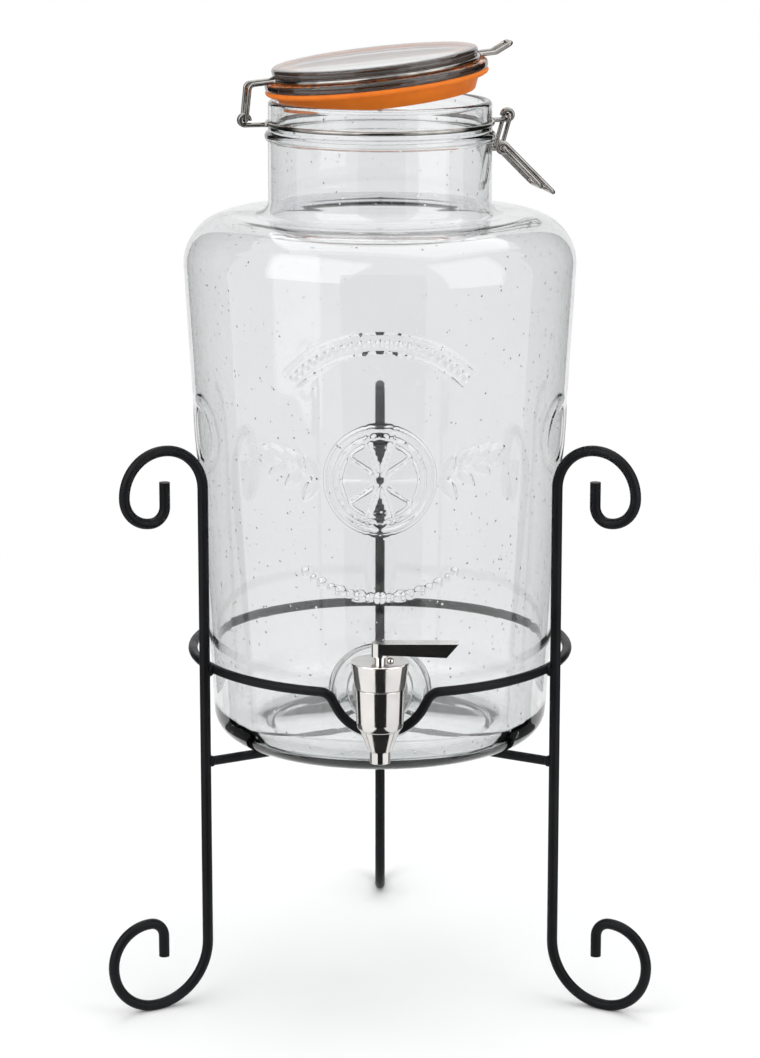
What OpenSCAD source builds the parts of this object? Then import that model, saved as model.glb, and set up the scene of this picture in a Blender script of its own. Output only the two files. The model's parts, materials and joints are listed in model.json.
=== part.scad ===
// Glass drink dispenser: a clip-top jar with a lever tap, in a stand of bent rod.
// The origin is on the jar's axis at floor level, +Z is up and the tap faces -Y.

/* [Jar] */
// Height of the jar, base to rim
jar_h = 340.3; // [300:0.1:380]
// Outside radius of the body just above the heel
jar_base_r = 89.5; // [80:0.5:95]
// Outside radius of the body at its widest, under the shoulder
jar_shoulder_r = 103.3; // [98:0.1:112]
// Radius of the heel between the base and the wall
heel_r = 15; // [8:0.5:20]
// Radius of the shoulder's bend
shoulder_bend_r = 26; // [15:0.5:30]
// Height of the neck, shoulder to rim
neck_h = 59; // [52:0.5:75]
// Outside radius of the neck
neck_r = 58.6; // [50:0.1:60]
// Radius of the fillet where the neck meets the shoulder
neck_root_r = 7; // [3:0.5:9]
// Thickness of the glass wall
jar_wall = 4.5; // [3:0.1:6]
// Thickness of the glass floor at its edge
jar_floor = 8; // [6:0.5:12]
// Depth of the hollow under the base
punt_h = 2.5; // [1:0.5:4]
// Distance from the rim down to the middle of the bead
bead_drop = 18.5; // [16:0.5:24]
// How far the bead stands out from the neck
bead_proud = 1.8; // [1:0.1:2]
// Distance from the rim down to the middle of the wire groove
groove_drop = 11.8; // [9:0.1:13]
// Depth of the wire groove
groove_depth = 1; // [0.5:0.1:1.5]

/* [Tap seat in the glass] */
// Height of the tap's centre line above the jar's base
tap_h = 46.3; // [36:0.1:60]
// Radius of the flat boss round the tap hole
boss_r = 25; // [20:0.1:26]
// How far the boss stands out from the wall
boss_proud = 2.4; // [1.5:0.1:4]
// Width of the boss's raised rim
boss_rim = 3; // [1.5:0.1:5]
// Depth of the flat inside that rim
boss_recess = 0.6; // [0.3:0.1:1]
// How far the flat pad inside the jar stands in from the wall
pad_proud = 2.5; // [2.2:0.1:5]

/* [Stand] */
// Diameter of the leg rods
leg_d = 5.6; // [4:0.1:7]
// Diameter of the hoop rod
hoop_d = 5; // [3.5:0.1:6]
// Diameter of the spoke rods
spoke_d = 5; // [3.5:0.1:6]
// Height of the spokes' centre line
spoke_z = 132; // [110:1:150]
// Gap between a leg and the jar, level with the leg's upper scroll
leg_gap = 5; // [2:0.5:12]
// Height at which the legs start to curl over
leg_top = 279.3; // [240:0.1:300]
// Bend radii of the upper scroll, from the leg to the tip
scroll_bends = [22, 22.5, 14.3, 8.2]; // [6:0.1:40]
// Length of the straight tip of the upper scroll
scroll_tip = 12.6; // [4:0.1:16]
// Bend radii of the foot scroll, from the leg to the tip
foot_bends = [31, 24, 21, 8]; // [6:0.1:40]
// Length of the straight tip of the foot scroll
foot_tip = 11; // [4:0.1:16]
// How much is ground flat under each foot
foot_flat = 0.3; // [0.1:0.05:0.6]
// Height of the hoop above the tap's centre line
hoop_above_tap = 1; // [0:0.5:20]
// Radius of the hoop's dip under the tap
dip_r = 25; // [22:0.5:27]
// Slope of the dip's sides
dip_slope = 62; // [55:1:64]
// Gap between the dip and the tap's flange
dip_gap = 6.2; // [1:0.1:8]
// Bend radius where the hoop turns down into the dip
dip_bend_r = 7; // [4:0.5:7]

/* [Lid and wires] */
// Turn of the closure about the jar, hinge towards the front
closure_turn = 12; // [0:1:45]
// How far the lid stands open
lid_ajar = 6.4; // [2:0.1:40]
// Diameter of the closure's wire
wire_d = 2.3; // [1.6:0.1:2.6]
// Bend radius of the closure's wire
wire_bend_r = 2.6; // [2:0.1:3]
// Height of the lid's flange
flange_h = 4.5; // [3:0.5:7]
// Height of the lid's top disc
disc_h = 4.4; // [3:0.1:8]
// Radius of the lid's top disc
disc_r = 54; // [53:0.5:57]
// Depth of the lid's wire groove, in from the disc
lid_groove = 1.5; // [0.5:0.1:3]
// Depth of the plug under the lid
plug_h = 4.2; // [2:0.1:6]
// Thickness of the seal on the rim
seal_h = 2.8; // [2:0.1:5]
// Depth of the seal's skirt below the lid's plug
skirt_h = 6; // [2:0.5:9]
// Thickness of the seal's skirt
skirt_t = 2.2; // [1.5:0.1:3]
// How far the seal's skirt draws in towards its lower edge
skirt_taper = 2.6; // [0.5:0.1:3]
// Distance of the hinge's axis from the neck's glass
hinge_reach = 13.1; // [10.4:0.1:19.4]
// Distance of the latch's axis from the neck's glass
latch_reach = 9.8; // [7.4:0.1:15.4]
// How far the lid's hinge arms lean in from the hinge to their elbow
elbow_in = 4; // [0:0.5:6]

/* [Latch] */
// Length of the lever's arm, axis to kink
arm_l = 17; // [14:0.5:20]
// Lean of the lever's arm towards the neck
arm_lean = 16; // [8:1:18]
// Length of the lever's handle, kink to end
handle_l = 30; // [24:0.5:33]
// Angle of the handle below level
handle_fall = 45; // [30:1:50]
// Reach of the tongue's elbow from the neck's glass
tongue_reach = 5; // [4:0.1:10.4]
// Length of the tongue's turned-up end
tongue_tip = 9.5; // [5:0.5:12]
// Angle of the tongue's turned-up end
tongue_rise = 24; // [20:1:50]
// Half width of the tongue
tongue_half = 6.2; // [5.5:0.1:6.6]
// Half width between the lever's arms
arm_half = 6.4; // [5.6:0.1:6.6]
// Half width of the latch loop
loop_half = 9.2; // [9.1:0.1:9.6]
// Half width of the lever's handle
handle_half = 12; // [11.9:0.1:15]

/* [Tap] */
// Length of the tap's neck, flange to barrel
tap_neck_l = 10; // [6:0.5:20]
// Radius of the tap's flange
flange_r = 12; // [11:0.1:12.6]
// Thickness of the tap's flange
flange_t = 3; // [2:0.1:5]
// Radius of the threaded shank
shank_r = 7.5; // [7:0.1:8.6]
// Radius of the bore through the shank
shank_bore_r = 6; // [3:0.1:6]
// Radius of the barrel under the bonnet
barrel_r = 12.7; // [12.2:0.1:14]
// Radius of the barrel at its waist
waist_r = 12; // [11:0.1:12.5]
// Radius of the barrel where it meets the nozzle
seam_r = 10.3; // [9:0.1:11.5]
// Height of the barrel's top above the tap's centre line
barrel_up = 10; // [8.5:0.5:16]
// Depth of the barrel's waist below the tap's centre line
waist_down = 7; // [2:0.5:7]
// Depth of the seam below the tap's centre line
seam_down = 12; // [8:0.5:14]
// Radius of the chamber in the barrel
chamber_r = 8; // [7.6:0.1:8.8]
// Radius of the bonnet's top
bonnet_r = 15; // [14.5:0.1:18]
// Radius of the bonnet's lower edge
bonnet_foot_r = 12.9; // [12.4:0.1:14.4]
// Height of the bonnet
bonnet_h = 13.6; // [12.6:0.1:18]
// Thickness of the bonnet's top
bonnet_t = 3.5; // [3:0.1:5]
// Radius of the domed stud on the bonnet's top
stud_r = 1.9; // [1:0.1:2.2]
// Length of the nozzle's cone
cone_h = 11.5; // [8:0.5:24]
// Length of the straight spout
spout_h = 6; // [3:0.5:20]
// Radius of the spout
spout_r = 5.3; // [5:0.1:7]
// Radius of the bore through the nozzle
nozzle_bore_r = 3.6; // [2:0.1:4.2]

/* [Tap stem and lever] */
// Radius of the stem
stem_r = 2.8; // [2.4:0.1:3.2]
// Lift of the stopper over the lever's travel
lift = 4; // [2:0.5:4.5]
// Turn of the lever from shut to open
lever_turn = 90; // [45:5:100]
// Gap between the bonnet and the shut lever
lever_up = 2.6; // [2.4:0.1:8]
// Height of the lever at its hub
lever_h = 7; // [6:0.5:12]
// Thickness of the lever
lever_t = 9; // [4:0.5:9]
// Length of the lever, stem to tip
lever_l = 39.5; // [30:0.5:60]
// Radius of the lever's hub
hub_r = 4.5; // [4.4:0.1:7]
// Radius of the cross pin in the stem
cam_pin_r = 1.2; // [0.8:0.1:1.4]
// Turns of the stem's spring
spring_turns = 3; // [2:1:4]
// Wire diameter of the stem's spring
spring_wire = 0.8; // [0.5:0.1:0.9]

/* [Seals and nut] */
// Thickness of each soft washer
soft_washer_t = 2; // [1:0.1:3]
// Thickness of the steel washer
backing_t = 1.5; // [1:0.1:3]
// Height of the nut
nut_h = 8; // [5:0.5:10]
// Width of the nut across its flats
nut_af = 23; // [20:0.5:26]

/* [Clearances] */
// Gap at a welded joint
weld_gap = 0.05; // [0.02:0.01:0.1]
// Gap between pieces that rest on each other
rest_gap = 0.3; // [0.2:0.05:0.5]
// Gap round a pin in a wire eye
eye_gap = 0.3; // [0.2:0.05:0.5]
// Gap of a screwed or pressed fit
fit_gap = 0.1; // [0.02:0.01:0.2]
// Gap round a piece that turns or slides
run_gap = 0.1; // [0.05:0.01:0.15]
// Gap round the shank in the glass
hole_gap = 0.5; // [0.3:0.1:1]

/* [Hidden] */
$fn = 64;
rod_black = [0.06, 0.06, 0.06];
glass_tint = [0.80, 0.88, 0.86, 0.35];
steel = [0.76, 0.77, 0.78];
wire_steel = [0.60, 0.58, 0.54];
seal_orange = [0.92, 0.48, 0.15];
seal_white = [0.88, 0.88, 0.86];
cut = 1; // how far a cutting shape runs past what it cuts
arc_steps = 16; // straight steps in each rounded corner of an outline
short_run = 0.5; // straight run between two bends of a rod
lap = 0.12; // how far a rod's straight run laps into its bends
step = 0.02; // how much smaller a straight run's radius is than its bends'

// The jar: heights, and the bends that its wall joins
base_z = spoke_z + spoke_d / 2 + rest_gap;
rim_z = base_z + jar_h;
shoulder_z = rim_z - neck_h;
bead_z = rim_z - bead_drop;
groove_z = rim_z - groove_drop;
heel_c = [jar_base_r - heel_r, base_z + heel_r];
bend_c = [jar_shoulder_r - shoulder_bend_r, shoulder_z - shoulder_bend_r];
root_c = [neck_r + neck_root_r, shoulder_z + neck_root_r];
wall_step = bend_c - heel_c;
taper = atan2(wall_step.x, wall_step.y) - asin((heel_r - shoulder_bend_r) / norm(wall_step));
mouth_r = neck_r - jar_wall;
rim_r = neck_r - 0.1;
lip_r = jar_wall / 2 - 0.1;
function jar_r(z) = heel_c.x + heel_r * cos(taper) + (z - heel_c.y + heel_r * sin(taper)) * tan(taper);

// The tap's place in the wall, and the stack of pieces along its shank
tap_z = base_z + tap_h;
boss_y = -(jar_r(tap_z) + boss_proud);
seat_y = boss_y + boss_recess;
pad_y = -(jar_r(tap_z) - jar_wall / cos(taper) - pad_proud);
flange_y = seat_y - soft_washer_t;
barrel_y = flange_y - flange_t - tap_neck_l - waist_r;
nut_y = pad_y + soft_washer_t + backing_t;
shank_end_y = nut_y + nut_h + 3;
washer_r = boss_r - boss_rim - 6.5;

// The stand, set out from the jar
scroll_top = leg_top + scroll_bends[0];
leg_r = jar_r(scroll_top) + leg_gap + leg_d / 2;
hoop_r = leg_r - leg_d / 2 - hoop_d / 2 - weld_gap;
hoop_z = tap_z + hoop_above_tap;
foot_z = leg_d / 2 - foot_flat;
dip_z = tap_z - flange_r - dip_gap - hoop_d / 2 + dip_r;
dip_point_z = dip_z - dip_r / cos(dip_slope);
dip_half = (hoop_z - dip_point_z) / tan(dip_slope);
dip_lead = dip_bend_r * tan(dip_slope / 2) + 1;
dip_turn = asin(dip_half / norm([hoop_r, dip_lead])) + atan(dip_lead / hoop_r);

// The closure's levels and axes
wire_r = wire_d / 2;
hinge_x = neck_r + hinge_reach;
latch_x = neck_r + latch_reach;
tongue_x = neck_r + tongue_reach;
eye_r = wire_d + eye_gap;
ring_r = neck_r - groove_depth + wire_r + run_gap;
axis_z = groove_z + eye_r;
seal_z = rim_z + rest_gap;
flange_z = seal_z + seal_h;
lid_wire_z = flange_z + flange_h + wire_r + run_gap;
disc_z = lid_wire_z + wire_r + run_gap;
lid_top = disc_z + disc_h;
lid_r = max(rim_r, disc_r + lid_groove);
lid_groove_r = disc_r - lid_groove;
lid_ring_r = lid_groove_r + wire_r + run_gap;
skirt_r = mouth_r - 0.7;
plug_r = skirt_r - skirt_t - fit_gap;
eye_half = wire_r - 0.15;

// The latch: kink of the lever, seat of the loop on the closed tongue, and the loop's length
kink = [latch_x - arm_l * sin(arm_lean), axis_z - arm_l * cos(arm_lean)];
hook = [tongue_x - eye_r * tan(tongue_rise / 2), lid_wire_z + eye_r];
loop_l = sqrt(pow(norm(hook - kink), 2) - pow(eye_r, 2));

// The tap's levels
seam_z = tap_z - seam_down;
waist_z = tap_z - waist_down;
barrel_z = tap_z + barrel_up;
bonnet_z = barrel_z + fit_gap;
cap_z = bonnet_z + bonnet_h;
roof_z = cap_z - bonnet_t;
lever_z = cap_z + lever_up;
spout_z = seam_z - cone_h - spout_h;
seat_z = tap_z - shank_bore_r - 0.5;
stopper_z = seat_z + rest_gap;
stopper_h = 4.5;
button_z = stopper_z + 1.2;
button_h = 1.4;
spring_seat_z = stopper_z + stopper_h + run_gap;
spring_seat_t = 1.2;
spring_z = spring_seat_z + spring_seat_t;
sleeve_low = spring_z + spring_turns * 2.6;
pin_top = roof_z - rest_gap - cam_pin_r;
pin_z = pin_top - lift;
ramp_low = pin_z - cam_pin_r - rest_gap;
thread_r = barrel_r - 2;
sleeve_r = chamber_r - fit_gap;
sleeve_bore = stem_r + 1.6;
o_ring_d = 1.6;

// Points of a round corner, from one angle to another
function corner(c, r, from, to) = [
    for (i = [0 : arc_steps])
        let (a = from + (to - from) * i / arc_steps)
        c + r * [cos(a), sin(a)]
];

function unit(v) = v / norm(v);

// Turn of a wire at the middle one of three points
function turn_at(a, b, c) = acos(unit(b - a) * unit(c - b));

// What the bend at a rod's point takes from the straight run on either side
function bend_take(p, i, r, closed) =
    let (n = len(p))
    !closed && (i == 0 || i == n - 1) ? 0 : r[i] * tan(turn_at(p[(i + n - 1) % n], p[i], p[(i + 1) % n]) / 2);

// Straight rod between two points
module rod(a, b, d) {
    v = b - a;
    translate(a)
        rotate([0, acos(v.z / norm(v)), atan2(v.y, v.x)])
            cylinder(d = d, h = norm(v));
}

// Round bend of a rod that comes along a-b and leaves along b-c
module bend(a, b, c, r, d) {
    u = unit(b - a);
    v = unit(c - b);
    turn = turn_at(a, b, c);
    n = unit(v - (u * v) * u);
    w = cross(u, n);
    o = b - u * r * tan(turn / 2) + n * r;
    multmatrix([
        [-n.x, u.x, -w.x, o.x],
        [-n.y, u.y, -w.y, o.y],
        [-n.z, u.z, -w.z, o.z]
    ])
        rotate_extrude(angle = turn)
            translate([r, 0])
                circle(d = d);
}

// Rod through a list of points, with a bend at each and a bend radius for each.
// Its straight runs are a hair thinner than the bends that they lap into.
module bent_rod(p, r, d, closed = false) {
    n = len(p);
    for (i = closed ? [0 : n - 1] : [1 : n - 2])
        bend(p[(i + n - 1) % n], p[i], p[(i + 1) % n], r[i], d);
    for (i = [0 : closed ? n - 1 : n - 2]) {
        j = (i + 1) % n;
        u = unit(p[j] - p[i]);
        from = p[i] + u * (bend_take(p, i, r, closed) - lap);
        to = p[j] - u * (bend_take(p, j, r, closed) - lap);
        rod(from, to, d - 2 * step);
    }
}

// Arc of rod in the XZ plane, about the origin
module side_arc(r, from, to, d) {
    rotate([90, 0, 0])
        rotate([0, 0, from])
            rotate_extrude(angle = to - from)
                translate([r, 0])
                    circle(d = d);
}

function backwards(p) = [for (i = [len(p) - 1 : -1 : 0]) p[i]];
function flipped(p) = [for (q = backwards(p)) [q.x, -q.y, q.z]];

// Corners of a scroll that leaves a leg at height z and curls up or down
function curl(b, tip, z, up) =
    let (
        x1 = b[0] + b[1] + short_run,
        z1 = z + up * (b[1] + b[2] + short_run),
        x2 = x1 - b[2] - b[3] - short_run
    )
    [for (q = [[0, z], [x1, z], [x1, z1], [x2, z1], [x2, z1 - up * (b[3] + tip)]]) [leg_r + q.x, 0, q.y]];

module leg(turn) {
    reach = 4 * leg_r;
    foot = curl(foot_bends, foot_tip, foot_z, 1);
    top = curl(scroll_bends, scroll_tip, scroll_top, -1);
    color(rod_black)
        rotate([0, 0, turn])
            difference() {
                bent_rod(
                    concat(backwards(foot), top),
                    concat([0], backwards(foot_bends), scroll_bends, [0]),
                    leg_d
                );
                translate([0, 0, -reach / 2]) cube(reach, center = true);
            }
}

module leg_front_left() { leg(210); }
module leg_front_right() { leg(330); }
module leg_back() { leg(90); }

// Ring round the jar; its front dips on two slopes under the tap
module hoop_ring() {
    end = hoop_r * [sin(dip_turn), -cos(dip_turn), 0] + [0, 0, hoop_z];
    brink = end - dip_lead * [cos(dip_turn), sin(dip_turn), 0];
    path = [end, brink, [0, brink.y, dip_point_z], [-brink.x, brink.y, brink.z], [-end.x, end.y, end.z]];
    color(rod_black) {
        translate([0, 0, hoop_z])
            rotate([0, 0, dip_turn - 90])
                rotate_extrude(angle = 360 - 2 * dip_turn)
                    translate([hoop_r, 0])
                        circle(d = hoop_d);
        bent_rod(path, [0, dip_bend_r, dip_r, dip_bend_r, 0], hoop_d);
    }
}

// Spoke from the middle to a leg, pointed at the middle and hollowed to fit the leg
module spoke(turn) {
    color(rod_black)
        rotate([0, 0, turn])
            difference() {
                intersection() {
                    rod([0, 0, spoke_z], [leg_r, 0, spoke_z], spoke_d);
                    translate([0, 0, spoke_z - spoke_d])
                        linear_extrude(2 * spoke_d)
                            polygon([[0, 0], [leg_r, -leg_r * tan(60)], [leg_r, leg_r * tan(60)]]);
                }
                translate([leg_r, 0, spoke_z - spoke_d])
                    cylinder(r = leg_d / 2 + weld_gap, h = 2 * spoke_d);
            }
}

module spoke_front_left() { spoke(210); }
module spoke_front_right() { spoke(330); }
module spoke_back() { spoke(90); }

// Solid of the jar's outside
module jar_outside() {
    bead_round = bead_proud + 1.2;
    bead_c = [neck_r - 1.2, bead_z];
    bead_turn = acos(1.2 / bead_round);
    groove_round = wire_r + run_gap;
    groove_c = [ring_r, groove_z];
    groove_turn = acos((groove_c.x - rim_r) / groove_round);
    rotate_extrude()
        polygon(concat(
            [[0, base_z]],
            corner(heel_c, heel_r, -90, -taper),
            corner(bend_c, shoulder_bend_r, -taper, 90),
            corner(root_c, neck_root_r, 270, 180),
            corner(bead_c, bead_round, -bead_turn, bead_turn),
            corner(groove_c, groove_round, 180 + groove_turn, 180 - groove_turn),
            corner([rim_r - lip_r, rim_z - lip_r], lip_r, 0, 90),
            [[0, rim_z]]
        ));
}

// Solid of the space inside the jar
module jar_inside() {
    heel_in = max(heel_r - jar_wall, 1);
    up = jar_floor - jar_wall + heel_r - jar_wall - heel_in;
    heel_in_c = heel_c + [up * tan(taper), up];
    rotate_extrude()
        polygon(concat(
            [[0, heel_in_c.y - heel_in]],
            corner(heel_in_c, heel_in, -90, -taper),
            corner(bend_c, shoulder_bend_r - jar_wall, -taper, 90),
            corner(root_c, neck_root_r + jar_wall, 270, 180),
            corner([mouth_r + lip_r, rim_z - lip_r], lip_r, 180, 90),
            [[mouth_r + lip_r, rim_z + cut], [0, rim_z + cut]]
        ));
}

// Round bar along Y between two places on the tap's centre line
module along_shank(r, y1, y2) {
    translate([0, y1, tap_z])
        rotate([-90, 0, 0])
            cylinder(r = r, h = y2 - y1);
}

module glass_jar() {
    punt_r = heel_c.x - 14;
    color(glass_tint)
        difference() {
            union() {
                difference() {
                    union() {
                        jar_outside();
                        along_shank(boss_r, boss_y, boss_y / 2);
                    }
                    jar_inside();
                }
                along_shank(washer_r + 2.5, (boss_y + pad_y) / 2, pad_y);
            }
            along_shank(boss_r - boss_rim, boss_y - cut, seat_y);
            along_shank(shank_r + hole_gap, boss_y - cut, pad_y + cut);
            translate([0, 0, base_z - cut])
                cylinder(r1 = punt_r + cut, r2 = punt_r - punt_h, h = punt_h + cut);
        }
}

// Places the closure's pieces round the jar
module closure() {
    rotate([0, 0, closure_turn]) children();
}

// Half of the neck wire: round one side of the neck, with an eye at each end
module neck_wire_half() {
    lead = 8;
    leave = [ring_r / cos(lead) - eye_half * tan(lead), -eye_half, groove_z];
    path = [
        [latch_x + lap, -eye_half, groove_z],
        leave,
        [0, -ring_r / sin(lead), groove_z],
        [-leave.x, leave.y, groove_z],
        [-hinge_x - lap, -eye_half, groove_z]
    ];
    bent_rod(path, [0, wire_bend_r, ring_r, wire_bend_r, 0], wire_d);
    translate([latch_x, -eye_half, axis_z]) side_arc(eye_r, -90, 185, wire_d);
    translate([-hinge_x, -eye_half, axis_z]) mirror([1, 0, 0]) side_arc(eye_r, -90, 185, wire_d);
}

module neck_wire() {
    color(wire_steel)
        closure() {
            neck_wire_half();
            mirror([0, 1, 0]) neck_wire_half();
        }
}

// Swings the closed lid's pieces up about the hinge
module lid_pose() {
    closure()
        translate([-hinge_x, 0, axis_z])
            rotate([0, -lid_ajar, 0])
                translate([hinge_x, 0, -axis_z])
                    children();
}

module glass_lid() {
    edge_r = 1.6;
    dish = 1.2;
    color(glass_tint)
        lid_pose()
            rotate_extrude()
                polygon(concat(
                    [[0, flange_z - plug_h + dish], [plug_r - 8, flange_z - plug_h]],
                    corner([plug_r - 1, flange_z - plug_h + 1], 1, -90, 0),
                    [[plug_r, flange_z]],
                    corner([lid_r - edge_r, flange_z + edge_r], edge_r, -90, 0),
                    corner([lid_r - edge_r, flange_z + flange_h - edge_r], edge_r, 0, 90),
                    [[lid_groove_r, flange_z + flange_h], [lid_groove_r, disc_z]],
                    corner([disc_r - edge_r, disc_z + edge_r], edge_r, -90, 0),
                    corner([disc_r - edge_r, lid_top - edge_r], edge_r, 0, 90),
                    [[disc_r - 8, lid_top], [0, lid_top - dish]]
                ));
}

module lid_gasket() {
    round_r = 1.2;
    lip_cut = min(1.9, seal_h - round_r);
    inside = skirt_r - skirt_t;
    plug_low = min(flange_z - plug_h, seal_z);
    low = plug_low - skirt_h;
    color(seal_orange)
        lid_pose()
            rotate_extrude()
                polygon(concat(
                    [[inside, flange_z], [inside, plug_low - rest_gap]],
                    [[inside - skirt_taper, low + 0.5], [skirt_r - skirt_taper - 0.5, low]],
                    [[skirt_r - skirt_taper, low + 0.5], [skirt_r, seal_z]],
                    [[lid_r - lip_cut, seal_z], [lid_r, seal_z + lip_cut]],
                    corner([lid_r - round_r, flange_z - round_r], round_r, 0, 90)
                ));
}

module lid_wire() {
    lead = 12;
    z = lid_wire_z;
    leave = [lid_ring_r / cos(lead) - tongue_half * tan(lead), -tongue_half, z];
    elbow = [tongue_x, -tongue_half, z];
    half = [
        elbow + tongue_tip * [cos(tongue_rise), 0, sin(tongue_rise)],
        elbow,
        leave,
        [0, -lid_ring_r / sin(lead), z],
        [-leave.x, leave.y, z],
        [elbow_in - hinge_x, -tongue_half, z],
        [-hinge_x, -tongue_half, axis_z]
    ];
    b = wire_bend_r;
    bends = [b, b, b, lid_ring_r, b, b, b];
    color(wire_steel)
        lid_pose()
            bent_rod(concat(half, flipped(half)), concat(bends, backwards(bends)), wire_d, closed = true);
}

// Direction of the handle and of the resting loop, and the direction square to it
function fall() = [cos(handle_fall), 0, -sin(handle_fall)];
function fall_up() = [sin(handle_fall), 0, cos(handle_fall)];

// Lever: axle in the eye, arm, step out at the kink, handle
module latch_lever() {
    at = [kink.x, 0, kink.y];
    end = at + handle_l * fall();
    half = [
        [latch_x, -arm_half, axis_z],
        at + [0, -arm_half, 0],
        at + [0, -handle_half, 0],
        end + [0, -handle_half, 0]
    ];
    bends = [1.6, 1.6, 1.6, 4];
    color(wire_steel)
        closure()
            bent_rod(concat(half, flipped(half)), concat(bends, backwards(bends)), wire_d, closed = true);
}

// Loop: an eye round each step of the lever, joined by a long bight
module latch_loop() {
    at = [kink.x, 0, kink.y];
    start = at + eye_r * fall_up() + [0, -loop_half, 0];
    half = [start - lap * fall(), start + loop_l * fall()];
    color(wire_steel)
        closure() {
            bent_rod(concat(half, flipped(half)), [0, 1.8, 1.8, 0], wire_d);
            for (side = [-1, 1])
                translate(at + [0, side * loop_half, 0])
                    rotate([0, handle_fall, 0])
                        side_arc(eye_r, 90, 365, wire_d);
        }
}

// Places what stands on the barrel's axis
module on_barrel() {
    translate([0, barrel_y, 0]) children();
}

module tap_body() {
    edge_r = 0.4;
    round_in = waist_r - seam_r;
    round_up = waist_z - seam_z;
    // Lower edge, from the seam to the waist
    heel = [for (p = corner([0, 0], 1, -90, 0)) [seam_r + round_in * p.x, waist_z + round_up * p.y]];
    color(steel)
        difference() {
            union() {
                on_barrel()
                    rotate_extrude()
                        polygon(concat(
                            [[0, seam_z]],
                            heel,
                            corner([barrel_r - edge_r, barrel_z - edge_r], edge_r, 0, 90),
                            [[thread_r, barrel_z], [thread_r, roof_z - rest_gap], [0, roof_z - rest_gap]]
                        ));
                along_shank(shank_r, barrel_y, shank_end_y);
                along_shank(shank_r + 2, barrel_y, flange_y);
                along_shank(flange_r, flange_y - flange_t, flange_y);
            }
            on_barrel() {
                translate([0, 0, seam_z - cut])
                    cylinder(r = chamber_r, h = roof_z - seam_z + 2 * cut);
                translate([0, 0, spout_z])
                    cylinder(r = seam_r + rest_gap, h = seam_z - spout_z);
            }
            along_shank(shank_bore_r, barrel_y, shank_end_y + cut);
        }
}

module tap_bonnet() {
    edge_r = 0.6;
    color(steel)
        on_barrel()
            difference() {
                union() {
                    rotate_extrude()
                        polygon(concat(
                            [[0, bonnet_z]],
                            corner([bonnet_foot_r - edge_r, bonnet_z + edge_r], edge_r, -90, 0),
                            corner([bonnet_r - edge_r, cap_z - edge_r], edge_r, 0, 90),
                            [[0, cap_z]]
                        ));
                    translate([stem_r + stud_r + 0.5, 0, cap_z]) sphere(r = stud_r);
                }
                translate([0, 0, bonnet_z - cut])
                    cylinder(r = thread_r + fit_gap, h = roof_z - bonnet_z + cut);
                translate([0, 0, roof_z - cut])
                    cylinder(r = stem_r + run_gap + o_ring_d, h = o_ring_d + run_gap + cut);
                translate([0, 0, roof_z])
                    cylinder(r = stem_r + run_gap, h = bonnet_t + cut);
            }
}

module tap_nozzle() {
    cone_foot_r = spout_r + 0.6;
    color(steel)
        on_barrel()
            difference() {
                union() {
                    rotate_extrude()
                        polygon(concat(
                            [[0, spout_z]],
                            corner([spout_r - 0.5, spout_z + 0.5], 0.5, -90, 0),
                            [[spout_r, seam_z - cone_h], [cone_foot_r, seam_z - cone_h + 0.6]],
                            [[seam_r, seam_z - fit_gap], [0, seam_z - fit_gap]]
                        ));
                    translate([0, 0, seam_z - cut])
                        cylinder(r = chamber_r - fit_gap, h = seat_z - seam_z + cut);
                }
                translate([0, 0, spout_z - cut])
                    cylinder(r = nozzle_bore_r, h = seat_z - spout_z + 2 * cut);
            }
}

module seat_stopper() {
    color(seal_white)
        on_barrel()
            translate([0, 0, stopper_z])
                difference() {
                    cylinder(r1 = chamber_r - 1.5, r2 = chamber_r - 2.2, h = stopper_h);
                    translate([0, 0, button_z - stopper_z - run_gap])
                        cylinder(r = stem_r + 0.6 + run_gap, h = button_h + 2 * run_gap);
                    translate([0, 0, button_z - stopper_z])
                        cylinder(r = stem_r - 0.8 + run_gap, h = stopper_h);
                }
}

module tap_stem() {
    neck_z = button_z + button_h;
    color(steel)
        on_barrel()
            difference() {
                union() {
                    translate([0, 0, button_z]) cylinder(r = stem_r + 0.6, h = button_h);
                    translate([0, 0, neck_z]) cylinder(r = stem_r - 0.8, h = spring_seat_z - neck_z);
                    translate([0, 0, spring_seat_z]) cylinder(r = stem_r, h = lever_z + lever_h / 2 - spring_seat_z);
                }
                rod([0, -chamber_r, pin_z], [0, chamber_r, pin_z], 2 * (cam_pin_r + fit_gap));
            }
}

module cam_pin() {
    half = sleeve_r - 0.6;
    color(steel)
        on_barrel()
            rod([0, -half, pin_z], [0, half, pin_z], 2 * cam_pin_r);
}

// Sleeve whose top edge climbs along the pin's path, once on each side of the stem
module cam_sleeve() {
    steps = 48;
    turn = 360 / steps;
    // Part of the climb, 0 to 1, at an angle past the shut pin
    function climb(a) = a < lever_turn ? a / lever_turn : a < 120 ? 1 : a < 165 ? (165 - a) / 45 : 0;
    function top_z(i) = ramp_low + lift * climb(((270 - i * turn) % 180 + 180) % 180);
    function rim(r, z) = [for (i = [0 : steps - 1]) [r * cos(i * turn), r * sin(i * turn), z]];
    function crest(r) = [for (i = [0 : steps - 1]) [r * cos(i * turn), r * sin(i * turn), top_z(i)]];
    function strip(a, b) = [
        for (i = [0 : steps - 1])
            let (j = (i + 1) % steps)
            each [[a + i, b + i, b + j], [a + i, b + j, a + j]]
    ];
    color(steel)
        on_barrel()
            polyhedron(
                concat(rim(sleeve_r, sleeve_low), crest(sleeve_r), crest(sleeve_bore), rim(sleeve_bore, sleeve_low)),
                concat(strip(0, steps), strip(steps, 2 * steps), strip(2 * steps, 3 * steps), strip(3 * steps, 0))
            );
}

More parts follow.
